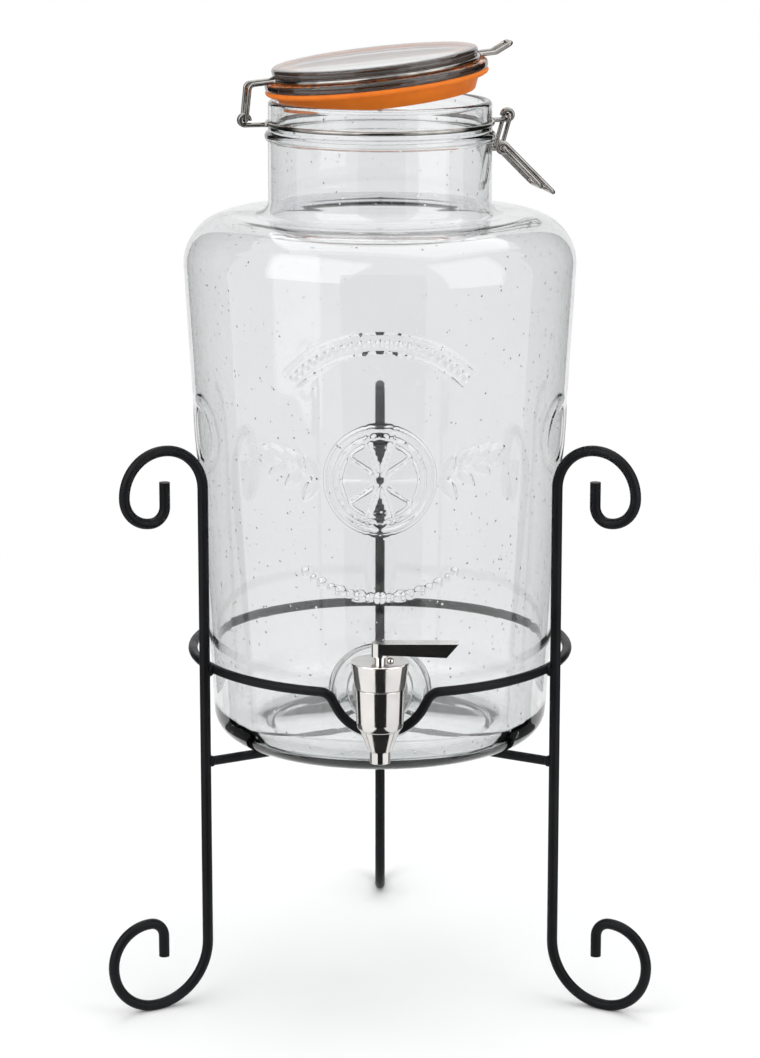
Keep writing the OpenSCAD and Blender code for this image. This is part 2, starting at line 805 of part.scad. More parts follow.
module spring_seat() {
    color(steel)
        on_barrel()
            translate([0, 0, spring_seat_z])
                difference() {
                    cylinder(r = chamber_r - 1.2, h = spring_seat_t);
                    translate([0, 0, -cut]) cylinder(r = stem_r + run_gap, h = spring_seat_t + 2 * cut);
                }
}

// Helical spring between its seat and the sleeve
module stem_spring() {
    sides = 6;
    rings = 12 * spring_turns;
    r = stem_r + 1.4 + spring_wire / 2;
    low = spring_z + spring_wire / 2 + run_gap;
    high = sleeve_low - spring_wire / 2 - run_gap;
    function ring(i) = [
        for (k = [0 : sides - 1])
            let (
                a = 360 * spring_turns * i / rings,
                b = 360 * k / sides,
                out = r + spring_wire / 2 * cos(b)
            )
            [out * cos(a), out * sin(a), low + (high - low) * i / rings + spring_wire / 2 * sin(b)]
    ];
    function tube_faces() = [
        for (i = [0 : rings - 1], k = [0 : sides - 1])
            let (a = i * sides + k, b = i * sides + (k + 1) % sides)
            each [[a, a + sides, b + sides], [a, b + sides, b]]
    ];
    function fan(start, flip) = [
        for (k = [1 : sides - 2])
            flip ? [start, start + k + 1, start + k] : [start, start + k, start + k + 1]
    ];
    color(steel)
        on_barrel()
            polyhedron(
                [for (i = [0 : rings]) each ring(i)],
                concat(tube_faces(), fan(0, false), fan(rings * sides, true))
            );
}

module stem_o_ring() {
    color([0.1, 0.1, 0.1])
        on_barrel()
            translate([0, 0, roof_z + o_ring_d / 2])
                rotate_extrude()
                    translate([stem_r + run_gap / 2 + o_ring_d / 2, 0])
                        circle(d = o_ring_d - run_gap);
}

// Lever: round hub on the stem and a blade to the right whose tip is cut on a slant
module tap_lever() {
    tip_lean = 6;
    color(steel)
        on_barrel()
            difference() {
                union() {
                    translate([0, 0, lever_z]) cylinder(r = hub_r, h = lever_h);
                    translate([0, lever_t / 2, lever_z])
                        rotate([90, 0, 0])
                            linear_extrude(lever_t)
                                polygon([
                                    [0, 1.2], [hub_r, 1.2], [lever_l - tip_lean, 0],
                                    [lever_l, lever_h], [0, lever_h]
                                ]);
                }
                translate([0, 0, lever_z - cut]) cylinder(r = stem_r + fit_gap, h = lever_h / 2 + cut);
            }
}

// Flat ring along the shank
module shank_ring(r, y1, y2) {
    difference() {
        along_shank(r, y1, y2);
        along_shank(shank_r + fit_gap, y1 - cut, y2 + cut);
    }
}

module outer_washer() { color(seal_white) shank_ring(flange_r, flange_y, seat_y); }
module inner_washer() { color(seal_white) shank_ring(washer_r, pad_y, pad_y + soft_washer_t); }
module backing_washer() { color(steel) shank_ring(washer_r - 0.5, pad_y + soft_washer_t, nut_y); }

module lock_nut() {
    color(steel)
        difference() {
            translate([0, nut_y, tap_z])
                rotate([-90, 0, 0])
                    cylinder(r = nut_af / 2 / cos(30), h = nut_h, $fn = 6);
            along_shank(shank_r + fit_gap, nut_y - cut, nut_y + nut_h + cut);
        }
}

leg_front_left();
leg_front_right();
leg_back();
hoop_ring();
spoke_front_left();
spoke_front_right();
spoke_back();
glass_jar();
neck_wire();
glass_lid();
lid_gasket();
lid_wire();
latch_lever();
latch_loop();
tap_body();
tap_bonnet();
tap_nozzle();
tap_stem();
tap_lever();
cam_pin();
cam_sleeve();
stem_spring();
spring_seat();
seat_stopper();
stem_o_ring();
outer_washer();
inner_washer();
backing_washer();
lock_nut();
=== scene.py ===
import json
import math

import bmesh
import bpy
import numpy as np
from mathutils import Matrix, Vector


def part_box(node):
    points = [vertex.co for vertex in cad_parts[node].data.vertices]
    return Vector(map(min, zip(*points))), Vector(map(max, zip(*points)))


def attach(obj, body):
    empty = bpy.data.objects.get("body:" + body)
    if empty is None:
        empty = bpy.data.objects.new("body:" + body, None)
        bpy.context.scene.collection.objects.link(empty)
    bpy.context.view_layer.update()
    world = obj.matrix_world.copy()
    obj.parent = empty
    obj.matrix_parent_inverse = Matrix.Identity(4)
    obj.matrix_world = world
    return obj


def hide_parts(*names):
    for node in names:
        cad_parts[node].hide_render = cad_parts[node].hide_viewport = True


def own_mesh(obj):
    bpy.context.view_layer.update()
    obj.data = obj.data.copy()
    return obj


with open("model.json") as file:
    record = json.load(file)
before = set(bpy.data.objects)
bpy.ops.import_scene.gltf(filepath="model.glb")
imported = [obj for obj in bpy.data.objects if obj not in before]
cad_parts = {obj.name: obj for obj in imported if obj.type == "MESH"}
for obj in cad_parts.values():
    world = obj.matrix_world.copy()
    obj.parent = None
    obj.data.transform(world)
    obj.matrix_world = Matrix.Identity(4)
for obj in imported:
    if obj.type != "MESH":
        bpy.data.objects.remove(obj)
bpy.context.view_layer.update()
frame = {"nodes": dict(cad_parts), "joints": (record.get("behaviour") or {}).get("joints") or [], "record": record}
nodes = frame["nodes"]
joints = {joint["name"]: joint for joint in frame["joints"]}
mm = 0.001
print("frame loaded with", len(nodes), "nodes")


# nodes and sockets

def newMaterial(name):
    material = bpy.data.materials.new(name)
    material.use_nodes = True
    tree = material.node_tree
    return material, tree, tree.nodes["Principled BSDF"]


def addNode(tree, kind, inputs=None, **settings):
    node = tree.nodes.new("ShaderNode" + kind)
    for key, value in settings.items():
        setattr(node, key, value)
    for key, value in (inputs or {}).items():
        plug(tree, node.inputs[key], value)
    return node


def plug(tree, socket, value):
    if isinstance(value, bpy.types.NodeSocket):
        tree.links.new(value, socket)
    else:
        socket.default_value = value


def place(tree, stretch=(1, 1, 1)):
    # the piece's own coordinates in metres, stretched where a grain runs one way
    coordinates = addNode(tree, "TexCoord").outputs["Object"]
    return addNode(tree, "Mapping", {"Vector": coordinates, "Scale": stretch}).outputs["Vector"]


def cloud(tree, scale, detail, stretch=(1, 1, 1)):
    settings = {"Vector": place(tree, stretch), "Scale": scale, "Detail": detail}
    return addNode(tree, "TexNoise", settings).outputs["Fac"]


def remap(tree, value, low, high, fromLow=0.3, fromHigh=0.7):
    settings = {"Value": value, "From Min": fromLow, "From Max": fromHigh, "To Min": low, "To Max": high}
    return addNode(tree, "MapRange", settings).outputs["Result"]


def blendColors(tree, factor, first, second):
    node = addNode(tree, "Mix", data_type="RGBA")
    plug(tree, node.inputs["Factor"], factor)
    plug(tree, node.inputs[6], first)
    plug(tree, node.inputs[7], second)
    return node.outputs[2]


def bumpOf(tree, height, strength, depth, below=None):
    settings = {"Height": height, "Strength": strength, "Distance": depth}
    if below is not None:
        settings["Normal"] = below
    return addNode(tree, "Bump", settings).outputs["Normal"]


def combine(tree, operation, first, second):
    return addNode(tree, "Math", {0: first, 1: second}, operation=operation).outputs[0]


# finishes
# tone, gloss, grain and wave give a noise's scale and detail, and relief a bump's strength and depth

def mottle(tree, skin, finish):
    # two colours in soft patches, and an uneven gloss
    tone = remap(tree, cloud(tree, *finish["tone"]), 0, 1)
    plug(tree, skin.inputs["Base Color"], blendColors(tree, tone, *finish["colors"]))
    plug(tree, skin.inputs["Roughness"], remap(tree, cloud(tree, *finish["gloss"]), *finish["rough"]))


def roughen(tree, skin, finish, stretch=(1, 1, 1)):
    grain = cloud(tree, *finish["grain"], stretch)
    plug(tree, skin.inputs["Normal"], bumpOf(tree, grain, *finish["relief"]))


rodFinish = {
    "colors": ((0.0042, 0.0045, 0.0053, 1), (0.0085, 0.009, 0.0105, 1)), "tone": (38, 5), "shine": 0.13,
    "gloss": (220, 4), "rough": (0.34, 0.46), "grain": (1400, 2), "relief": (0.35, 0.03 * mm),
}


def powderCoat():
    # satin black powder coat: orange peel, and a faint rubbed bloom
    material, tree, skin = newMaterial("powderCoat")
    mottle(tree, skin, rodFinish)
    roughen(tree, skin, rodFinish)
    skin.inputs["Specular IOR Level"].default_value = rodFinish["shine"]
    return material


wireFinish = {
    "colors": ((0.35, 0.338, 0.32, 1), (0.18, 0.172, 0.16, 1)), "tone": (120, 5),
    "gloss": (420, 4), "rough": (0.08, 0.18), "grain": (900, 3), "relief": (0.1, 0.004 * mm),
}


def drawnWire():
    # drawn steel wire with a warm, uneven sheen
    material, tree, skin = newMaterial("drawnWire")
    mottle(tree, skin, wireFinish)
    roughen(tree, skin, wireFinish)
    skin.inputs["Metallic"].default_value = 1
    return material


tapFinish = {
    "colors": ((0.79, 0.765, 0.74, 1), (0.63, 0.612, 0.595, 1)), "tone": (60, 4),
    "gloss": (150, 5), "rough": (0.07, 0.15), "grain": (2600, 2), "relief": (0.25, 0.006 * mm),
    "turned": (0.02, 0.02, 1), "brushed": (0.03, 1, 1),  # which way the marks run
}


def polishedSteel(name, stretch):
    # polished stainless steel with faint marks of turning or brushing
    material, tree, skin = newMaterial(name)
    mottle(tree, skin, tapFinish)
    roughen(tree, skin, tapFinish, stretch)
    skin.inputs["Metallic"].default_value = 1
    return material


glassFinish = {
    "colors": ((0.98, 0.982, 0.986, 1), (0.945, 0.95, 0.955, 1)), "tone": (14, 3),
    "gloss": (55, 4), "rough": (0.0, 0.035), "index": 1.5, "density": 70,
    "wave": (26, 1), "waveDepth": 0.9 * mm, "jarWaves": 0.18, "lidWaves": 0.06,
    "seedScale": 240, "seedSize": 0.15, "seedRare": (0.66, 0.68), "seedRelief": (0.6, 0.7 * mm),
    "jarBody": (0.72, 0.735, 0.735, 1), "lidBody": (0.70, 0.69, 0.68, 1), "shadow": (0.86, 0.89, 0.88, 1),
}


def pressedGlass(name, waves, color):
    # thick pressed glass: slow waves, scattered seeds, a grey body and a light shadow
    material, tree, skin = newMaterial(name)
    mottle(tree, skin, glassFinish)
    skin.inputs["Transmission Weight"].default_value = 1
    skin.inputs["IOR"].default_value = glassFinish["index"]
    swell = bumpOf(tree, cloud(tree, *glassFinish["wave"]), waves, glassFinish["waveDepth"])
    seeds = addNode(tree, "TexVoronoi", {"Vector": place(tree), "Scale": glassFinish["seedScale"]})
    spots = remap(tree, seeds.outputs["Distance"], 1, 0, 0, glassFinish["seedSize"])
    sparse = remap(tree, seeds.outputs["Color"], 0, 1, *glassFinish["seedRare"])
    rare = combine(tree, "MULTIPLY", spots, sparse)
    plug(tree, skin.inputs["Normal"], bumpOf(tree, rare, *glassFinish["seedRelief"], swell))
    body = addNode(tree, "VolumeAbsorption", {"Color": color, "Density": glassFinish["density"]})
    through = addNode(tree, "BsdfTransparent", {"Color": glassFinish["shadow"]})
    shadowRay = addNode(tree, "LightPath").outputs["Is Shadow Ray"]
    switch = addNode(tree, "MixShader", {0: shadowRay, 1: skin.outputs[0], 2: through.outputs[0]})
    out = tree.nodes["Material Output"]
    tree.links.new(body.outputs["Volume"], out.inputs["Volume"])
    tree.links.new(switch.outputs[0], out.inputs["Surface"])
    return material


sealFinish = {
    "tone": (90, 5), "gloss": (300, 4), "rough": (0.4, 0.58), "grain": (1500, 3), "relief": (0.3, 0.04 * mm),
    "shine": 0.22, "scatter": 1.5 * mm, "scatterColor": (1.0, 0.35, 0.1),
    "orange": {"colors": ((0.83, 0.21, 0.016, 1), (0.73, 0.165, 0.011, 1)), "glow": 0.08},
    "white": {"colors": ((0.80, 0.80, 0.77, 1), (0.70, 0.70, 0.67, 1)), "glow": 0.2},
    "black": {"colors": ((0.012, 0.012, 0.012, 1), (0.02, 0.02, 0.02, 1)), "glow": 0},
}


def silicone(color):
    # matt moulded silicone, a little cloudy
    material, tree, skin = newMaterial(color + "Seal")
    mottle(tree, skin, {**sealFinish, **sealFinish[color]})
    roughen(tree, skin, sealFinish)
    skin.inputs["Specular IOR Level"].default_value = sealFinish["shine"]
    skin.inputs["Subsurface Weight"].default_value = sealFinish[color]["glow"]
    skin.inputs["Subsurface Radius"].default_value = sealFinish["scatterColor"]
    skin.inputs["Subsurface Scale"].default_value = sealFinish["scatter"]
    return material


rodBlack = powderCoat()
wireSteel = drawnWire()
tapSteel = polishedSteel("turnedSteel", tapFinish["turned"])
leverSteel = polishedSteel("leverSteel", tapFinish["brushed"])
jarGlass = pressedGlass("jarGlass", glassFinish["jarWaves"], glassFinish["jarBody"])
lidGlass = pressedGlass("lidGlass", glassFinish["lidWaves"], glassFinish["lidBody"])
orangeSeal, whiteSeal, blackSeal = (silicone(color) for color in ("orange", "white", "black"))
slotFinish = {
    "rod_black": rodBlack, "wire_steel": wireSteel, "tap_steel": tapSteel, "clear_glass": jarGlass,
    "orange_silicone": orangeSeal, "white_silicone": whiteSeal, "black_rubber": blackSeal,
}
for part in frame["record"]["subparts"]:
    node = nodes[part["node"]]
    node.data.materials.clear()
    node.data.materials.append(slotFinish[part["material_slot"]])
nodes["tap_lever"].data.materials[0] = leverSteel
print("finishes ready:", len(bpy.data.materials))


# meshes

def newPiece(name, points, faces, material, body, replaced=None, sharp=35):
    mesh = bpy.data.meshes.new(name)
    mesh.from_pydata([tuple(p) for p in points], [], [tuple(f) for f in faces])
    work = bmesh.new()
    work.from_mesh(mesh)
    bmesh.ops.recalc_face_normals(work, faces=work.faces)
    work.to_mesh(mesh)
    work.free()
    mesh.shade_smooth()
    mesh.set_sharp_from_angle(angle=math.radians(sharp))
    mesh.materials.append(material)
    piece = bpy.data.objects.new(name, mesh)
    bpy.context.scene.collection.objects.link(piece)
    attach(piece, body)
    if replaced:
        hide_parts(replaced)
    return piece


def arc(center, radius, start, end, steps):
    turns = [math.radians(start + (end - start) * i / steps) for i in range(steps + 1)]
    return [(center[0] + radius * math.cos(a), center[1] + radius * math.sin(a)) for a in turns]


def bandFaces(rows, sides, closed=False):
    # quads between rows of points that each go once round
    faces = []
    for row in range(rows if closed else rows - 1):
        here, there = row * sides, (row + 1) % rows * sides
        for i in range(sides):
            after = (i + 1) % sides
            faces.append((here + i, here + after, there + after, there + i))
    return faces


def endFaces(points, sides):
    # the first and the last row of points, filled
    return [tuple(range(sides)), tuple(range(len(points) - sides, len(points)))]


def lathePoints(profile, sides):
    # an outline of (radius, height) turned about Z
    turns = [2 * math.pi * i / sides for i in range(sides)]
    return [(r * math.cos(a), r * math.sin(a), z) for r, z in profile for a in turns]


# jar

jarShape = {
    "baseRadius": 89.5 * mm, "heelBend": 15 * mm, "shoulderBend": 26 * mm,
    "neckHeight": 59 * mm, "neckRadius": 58.6 * mm, "neckRoot": 7 * mm,
    "wall": 4.5 * mm, "floor": 8 * mm, "puntRadius": 60.5 * mm, "puntHeight": 2.5 * mm,
    "puntEdge": 1 * mm, "puntEase": 0.3 * mm, "puntFoot": 0.4 * mm,
    "pole": 8 * mm,  # inside this radius the floor's faces meet in one point
    "rimSet": 0.1 * mm, "beadDrop": 18.5 * mm, "beadProud": 1.8 * mm, "beadSet": 1.2 * mm,
    "grooveDrop": 11.8 * mm, "grooveRadius": 1.25 * mm, "grooveDepth": 1 * mm,
    "hold": 0.8 * mm,  # extra rows that keep the neck's walls straight in the light
    # steps of the mesh: up the wall in metres, round it in radians, and on each bend
    "plainStep": 5 * mm, "seatStep": 2 * mm, "reliefStep": 1 * mm,
    "frontStep": 0.0104, "sideStep": 0.018, "backStep": 0.055, "frontTurn": 0.72, "sideTurns": (1.04, 1.54),
    "bendSteps": {
        "heel": 12, "shoulder": 16, "root": 10, "bead": 12, "groove": 8, "lip": 6,
        "inRoot": 9, "inShoulder": 14, "inHeel": 10,
    },
    # rows inside: every so many of the outside's, clear of the window and the shoulder
    "inEvery": 8, "inStart": 1.3 * mm, "inClear": 3 * mm, "inEnd": 2 * mm,
    "seat": {
        "bossRadius": 25 * mm, "bossProud": 2.4 * mm, "rimWidth": 3 * mm, "recess": 0.6 * mm,
        "holeRadius": 8 * mm, "padRadius": 18 * mm, "padProud": 2.5 * mm, "chamfer": 0.5 * mm,
        "window": 31 * mm, "reach": 34 * mm, "padReach": 6 * mm, "skirt": 2 * mm,
        # fillets: millimetres out from the edge, and the share of the way up
        "bossFoot": ((1.5, 0), (1.2, 0), (0.8, 0.07), (0.45, 0.22), (0.2, 0.45), (0.05, 0.75)),
        "padFoot": ((0.05, 0.75), (0.2, 0.45), (0.5, 0.2), (0.9, 0.05), (1.2, 0), (1.5, 0)),
        # rounded edges: millimetres in from the edge, and down from the face
        "bossEdge": ((0.1, 0.5), (0.3, 0.2), (0.6, 0.05), (0.9, 0), (1.1, 0)),
        "padEdge": ((0.7, 0), (0.1, 0.5)), "step": 0.4 * mm, "stepRound": 0.15 * mm,
    },
    "relief": {
        "centerHeight": 293 * mm, "proud": 1.5 * mm, "low": -76 * mm, "high": 84 * mm, "softReach": 1.35,
        "wheel": {
            "radius": 27 * mm, "half": 1.3 * mm, "pith": 22.5 * mm, "pithHalf": 0.7 * mm, "pithShare": 0.8,
            "segments": 10, "rib": 1.4 * mm, "outer": 19 * mm, "inner": 4.5 * mm, "edge": 0.9 * mm,
            "share": 0.75,
        },
        "sprig": {
            "drop": 2 * mm, "sway": 11 * mm, "bend": 19 * mm, "start": 31 * mm, "end": 60 * mm,
            "half": 0.8 * mm, "share": 0.8,
            "leaves": ((33 * mm, 62), (41 * mm, 48), (49 * mm, 36), (56 * mm, 20)),  # place and angle
        },
        "leaf": {
            "length": 14 * mm, "width": 3.4 * mm, "belly": 0.8, "swell": 1.15,
            "veinDepth": 0.55, "veinHalf": 0.35 * mm, "veinGrow": 0.1,
        },
        "bowCenter": 8 * mm,  # of the arch and the swag, above the wheel's centre
        "arch": {
            "radius": 62 * mm, "spread": 46, "beads": 23, "bead": 1.9 * mm,
            "bands": (57 * mm, 67 * mm), "bandSpread": 48, "bandHalf": 0.75 * mm, "bandShare": 0.7,
        },
        "swag": {"radius": 70 * mm, "spread": 34, "beads": 17, "large": 2.2 * mm, "small": 1.3 * mm},
        "sideRing": {"turn": 74, "height": 303 * mm, "radius": 18 * mm, "half": 3 * mm, "share": 0.26},
    },
}
jarLow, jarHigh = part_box("glass_jar")
nutLow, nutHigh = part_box("lock_nut")
tapHeight = (nutLow.z + nutHigh.z) / 2
baseZ, rimZ = jarLow.z, jarHigh.z
shoulderZ = rimZ - jarShape["neckHeight"]
heelCenter = (jarShape["baseRadius"] - jarShape["heelBend"], baseZ + jarShape["heelBend"])
bendCenter = (jarHigh.x - jarShape["shoulderBend"], shoulderZ - jarShape["shoulderBend"])
wallLean = math.atan2(bendCenter[0] - heelCenter[0], bendCenter[1] - heelCenter[1]) - math.asin(
    (jarShape["heelBend"] - jarShape["shoulderBend"]) / math.dist(bendCenter, heelCenter))


def wallRadius(z, inset=0.0):
    start = heelCenter[1] - jarShape["heelBend"] * math.sin(wallLean)
    outside = heelCenter[0] + jarShape["heelBend"] * math.cos(wallLean) + (z - start) * math.tan(wallLean)
    return outside - inset / math.cos(wallLean)


def spaced(low, high, plain, zones):
    # marks from low to high whose step follows the zone that they are in
    marks = [low]
    while marks[-1] < high:
        step = next((size for start, end, size in zones if start <= marks[-1] < end), plain)
        marks.append(marks[-1] + step)
    return [low + (mark - low) * (high - low) / (marks[-1] - low) for mark in marks]


def soft(distance, half):
    # 1 on a raised line, falling smoothly to 0 past its half width
    t = np.clip(jarShape["relief"]["softReach"] - distance / half, 0, 1)
    return t * t * (3 - 2 * t)


def leafHeight(u, v, root, angle):
    # a pointed leaf with a groove along its vein
    leaf = jarShape["relief"]["leaf"]
    along = (u - root[0]) * math.cos(angle) + (v - root[1]) * math.sin(angle)
    across = np.abs(-(u - root[0]) * math.sin(angle) + (v - root[1]) * math.cos(angle))
    share = np.clip(along / leaf["length"], 0, 1)
    half = leaf["width"] * np.sin(math.pi * share ** leaf["belly"]) + 1e-9  # never 0
    swell = np.clip(leaf["swell"] * (1 - across / half), 0, 1)
    veinHalf = leaf["veinHalf"] + leaf["veinGrow"] * half
    vein = 1 - leaf["veinDepth"] * np.clip(1 - across / veinHalf, 0, 1)
    inside = (along > 0) & (along < leaf["length"])
    return np.where(inside, np.sqrt(swell) * vein, 0)


def beadHeight(u, v, places, radius):
    height = np.zeros_like(u)
    for x, y in places:
        height = np.maximum(height, np.sqrt(np.clip(1 - ((u - x) ** 2 + (v - y) ** 2) / radius ** 2, 0, 1)))
    return height


def wheelHeight(u, v):
    # a cut citrus wheel: peel, pith and segments
    wheel = jarShape["relief"]["wheel"]
    piece = 360 / wheel["segments"]
    far = np.hypot(u, v)
    turn = np.degrees(np.arctan2(v, u)) % piece - piece / 2
    fromRib = far * np.sin(np.radians(piece / 2 - np.abs(turn)))
    peel = soft(np.abs(far - wheel["radius"]), wheel["half"])
    pith = wheel["pithShare"] * soft(np.abs(far - wheel["pith"]), wheel["pithHalf"])
    edge = wheel["edge"]
    segment = soft(wheel["rib"] - fromRib, edge) * soft(far - wheel["outer"], edge)
    segment = segment * soft(wheel["inner"] - far, edge)
    return np.maximum(np.maximum(peel, pith), wheel["share"] * segment)


def sprigHeight(u, v, side):
    # a swaying stem with pairs of leaves
    sprig = jarShape["relief"]["sprig"]
    stem = np.abs(v + sprig["drop"] + sprig["sway"] * np.cos(u / sprig["bend"]))
    on = (side * u > sprig["start"]) & (side * u < sprig["end"])
    height = np.where(on, sprig["share"] * soft(stem, sprig["half"]), 0)
    for away, lift in sprig["leaves"]:
        root = (side * away, -sprig["drop"] - sprig["sway"] * math.cos(away / sprig["bend"]))
        for flip in (1, -1):
            lean = math.radians(lift * flip) if side > 0 else math.pi - math.radians(lift * flip)
            height = np.maximum(height, leafHeight(u, v, root, lean))
    return height


def bowHeight(u, v):
    # a beaded arch between two bands, and a beaded swag
    design = jarShape["relief"]
    arch, swag, center = design["arch"], design["swag"], design["bowCenter"]

    def beadPlaces(bow, up):
        turns = np.radians(np.linspace(-bow["spread"], bow["spread"], bow["beads"]))
        return [(bow["radius"] * math.sin(a), up * bow["radius"] * math.cos(a) + center) for a in turns]

    hung = beadPlaces(swag, -1)
    height = beadHeight(u, v, beadPlaces(arch, 1), arch["bead"])
    height = np.maximum(height, beadHeight(u, v, hung[::2], swag["large"]))
    height = np.maximum(height, beadHeight(u, v, hung[1::2], swag["small"]))
    far = np.hypot(u, v - center)
    over = (v > center) & (np.abs(np.arctan2(u, v - center)) < math.radians(arch["bandSpread"]))
    for radius in arch["bands"]:
        band = arch["bandShare"] * soft(np.abs(far - radius), arch["bandHalf"])
        height = np.maximum(height, np.where(over, band, 0))
    return height


def jarRelief(turn, z):
    # how far the glass stands out at an angle from the front and a height
    design = jarShape["relief"]
    ring = design["sideRing"]
    scale = np.array([wallRadius(height) for height in z.ravel()]).reshape(z.shape)
    u, v = turn * scale, z - design["centerHeight"]
    height = np.maximum(wheelHeight(u, v), bowHeight(u, v))
    for side in (-1, 1):
        height = np.maximum(height, sprigHeight(u, v, side))
        away = np.hypot((turn - side * math.radians(ring["turn"])) * scale, z - ring["height"])
        height = np.maximum(height, ring["share"] * soft(np.abs(away - ring["radius"]), ring["half"]))
    return height * design["proud"]


def jarOutline():
    # rows of (radius, height): under the floor, up the outside, over the rim and down the inside
    shape, seat, design = jarShape, jarShape["seat"], jarShape["relief"]
    wall, neck, hold, pole = shape["wall"], shape["neckRadius"], shape["hold"], shape["pole"]
    steps, center, lean = shape["bendSteps"], design["centerHeight"], math.degrees(wallLean)
    wallLow = heelCenter[1] - shape["heelBend"] * math.sin(wallLean)
    wallHigh = bendCenter[1] - shape["shoulderBend"] * math.sin(wallLean)
    heights = spaced(wallLow, wallHigh, shape["plainStep"], [
        (tapHeight - seat["reach"], tapHeight + seat["reach"], shape["seatStep"]),
        (center + design["low"], center + design["high"], shape["reliefStep"])])

    punt, puntZ = shape["puntRadius"], baseZ + shape["puntHeight"]
    puntIn = punt - shape["puntHeight"]
    outer = [(pole, puntZ), (puntIn - shape["puntEdge"], puntZ), (puntIn, puntZ - shape["puntEase"])]
    outer += [(punt, baseZ + shape["puntFoot"]), (punt + shape["puntEdge"], baseZ)]
    outer += arc(heelCenter, shape["heelBend"], -90, -lean, steps["heel"])[:-1]
    firstWall = len(outer)
    outer += [(wallRadius(z), z) for z in heights]

    rim, lip = neck - shape["rimSet"], wall / 2 - shape["rimSet"]
    rootCenter = (neck + shape["neckRoot"], shoulderZ + shape["neckRoot"])
    grooveCenter = (neck - shape["grooveDepth"] + shape["grooveRadius"], rimZ - shape["grooveDrop"])
    grooveTurn = math.degrees(math.acos((grooveCenter[0] - rim) / shape["grooveRadius"]))
    beadCenter = (neck - shape["beadSet"], rimZ - shape["beadDrop"])
    beadBend = shape["beadProud"] + shape["beadSet"]
    beadTurn = math.degrees(math.acos(shape["beadSet"] / beadBend))
    upper = arc(bendCenter, shape["shoulderBend"], -lean, 90, steps["shoulder"])[1:]
    upper += arc(rootCenter, shape["neckRoot"], 270, 180, steps["root"]) + [(neck, rootCenter[1] + hold)]
    upper += arc(beadCenter, beadBend, -beadTurn, beadTurn, steps["bead"])
    upper += arc(grooveCenter, shape["grooveRadius"], 180 + grooveTurn, 180 - grooveTurn, steps["groove"])
    upper += [(rim, rimZ - lip - hold)] + arc((rim - lip, rimZ - lip), lip, 0, 90, steps["lip"])
    upper += arc((neck - wall + lip, rimZ - lip), lip, 90, 180, steps["lip"])
    upper += [(neck - wall, rimZ - lip - hold), (neck - wall, rootCenter[1] + hold)]
    upper += arc(rootCenter, shape["neckRoot"] + wall, 180, 270, steps["inRoot"])
    upper += arc(bendCenter, shape["shoulderBend"] - wall, 90, -lean, steps["inShoulder"])

    inHeel, inRise = shape["heelBend"] - wall, shape["floor"] - wall
    inCenter = (heelCenter[0] + inRise * math.tan(wallLean), heelCenter[1] + inRise)
    inLow = inCenter[1] - inHeel * math.sin(wallLean)
    windowRows = sum(z <= tapHeight + seat["window"] for z in heights)
    inTop = tapHeight + seat["padRadius"] + seat["padReach"]
    inWindow = np.linspace(inLow + shape["inStart"], inTop, windowRows)
    above, below = inTop + shape["inClear"], wallHigh - shape["inEnd"]
    inAbove = [z for z in heights[::shape["inEvery"]] if above < z < below]
    inner = [(wallRadius(z, wall), z) for z in inAbove[::-1] + list(inWindow[::-1])]
    inner += arc(inCenter, inHeel, -lean, -90, steps["inHeel"]) + [(pole, inCenter[1] - inHeel)]

    rows = {
        "wall": firstWall, "wallEnd": firstWall + len(heights), "window": windowRows,
        "inWindow": len(outer) + len(upper) + len(inAbove),
    }
    return np.array(outer + upper + inner), rows


def jarTurns():
    # angles from the front, close together where the relief is
    front = jarShape["frontTurn"]
    near, far = jarShape["sideTurns"]
    zones = [(-front, front, jarShape["frontStep"])]
    zones += [(-far, -near, jarShape["sideStep"]), (near, far, jarShape["sideStep"])]
    return np.array(spaced(-math.pi, math.pi, jarShape["backStep"], zones)[:-1])


def onWall(x, z, inset):
    return Vector((x, -math.sqrt(wallRadius(z, inset) ** 2 - x * x), z))


def wallRing(ways, radius, inset):
    return [onWall(radius * math.cos(w), tapHeight + radius * math.sin(w), inset) for w in ways]


def planeRing(ways, radius, y):
    return [Vector((radius * math.cos(w), y, tapHeight + radius * math.sin(w))) for w in ways]


